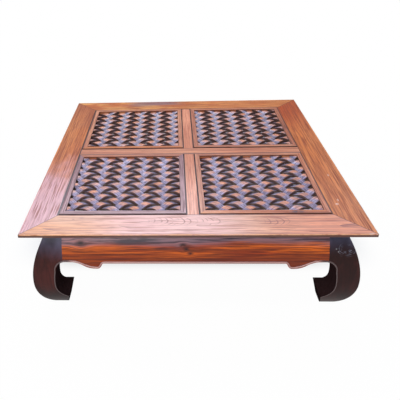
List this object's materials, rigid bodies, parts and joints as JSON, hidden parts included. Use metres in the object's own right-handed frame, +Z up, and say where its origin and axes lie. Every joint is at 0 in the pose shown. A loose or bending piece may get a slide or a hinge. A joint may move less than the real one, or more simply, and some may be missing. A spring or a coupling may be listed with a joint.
{
  "type": "kang table",
  "caption": "Low square wooden table with curved legs that turn in at the foot, cusped aprons and a mitred top holding inset panels of woven wood slats.",
  "frame": {"origin": "on the floor under the middle of the top board", "axes": "+X to the right, +Y to the back, +Z up; the front is at -Y"},
  "size_m": [1.2, 1.2, 0.378],
  "materials": {
    "top_wood": "oiled, with open grain",
    "panel_wood": "oiled",
    "slat_wood": "worn satin",
    "leg_wood": "dark polished lacquer",
    "apron_wood": "oiled, with strong grain"
  },
  "bodies": {
    "root": {"apron_back": "apron_wood", "apron_front": "apron_wood", "apron_left": "apron_wood", "apron_right": "apron_wood", "cross_rail_back": "top_wood", "cross_rail_front": "top_wood", "cross_rail_long": "top_wood", "leg_back_left": "leg_wood", "leg_back_right": "leg_wood", "leg_front_left": "leg_wood", "leg_front_right": "leg_wood", "panel_back_left_frame_back": "panel_wood", "panel_back_left_frame_front": "panel_wood", "panel_back_left_frame_left": "panel_wood", "panel_back_left_frame_right": "panel_wood", "panel_back_left_slats_falling": "slat_wood", "panel_back_left_slats_rising": "slat_wood", "panel_back_right_frame_back": "panel_wood", "panel_back_right_frame_front": "panel_wood", "panel_back_right_frame_left": "panel_wood", "panel_back_right_frame_right": "panel_wood", "panel_back_right_slats_falling": "slat_wood", "panel_back_right_slats_rising": "slat_wood", "panel_front_left_frame_back": "panel_wood", "panel_front_left_frame_front": "panel_wood", "panel_front_left_frame_left": "panel_wood", "panel_front_left_frame_right": "panel_wood", "panel_front_left_slats_falling": "slat_wood", "panel_front_left_slats_rising": "slat_wood", "panel_front_right_frame_back": "panel_wood", "panel_front_right_frame_front": "panel_wood", "panel_front_right_frame_left": "panel_wood", "panel_front_right_frame_right": "panel_wood", "panel_front_right_slats_falling": "slat_wood", "panel_front_right_slats_rising": "slat_wood", "top_member_back": "top_wood", "top_member_front": "top_wood", "top_member_left": "top_wood", "top_member_right": "top_wood"}
  },
  "joints": []
}
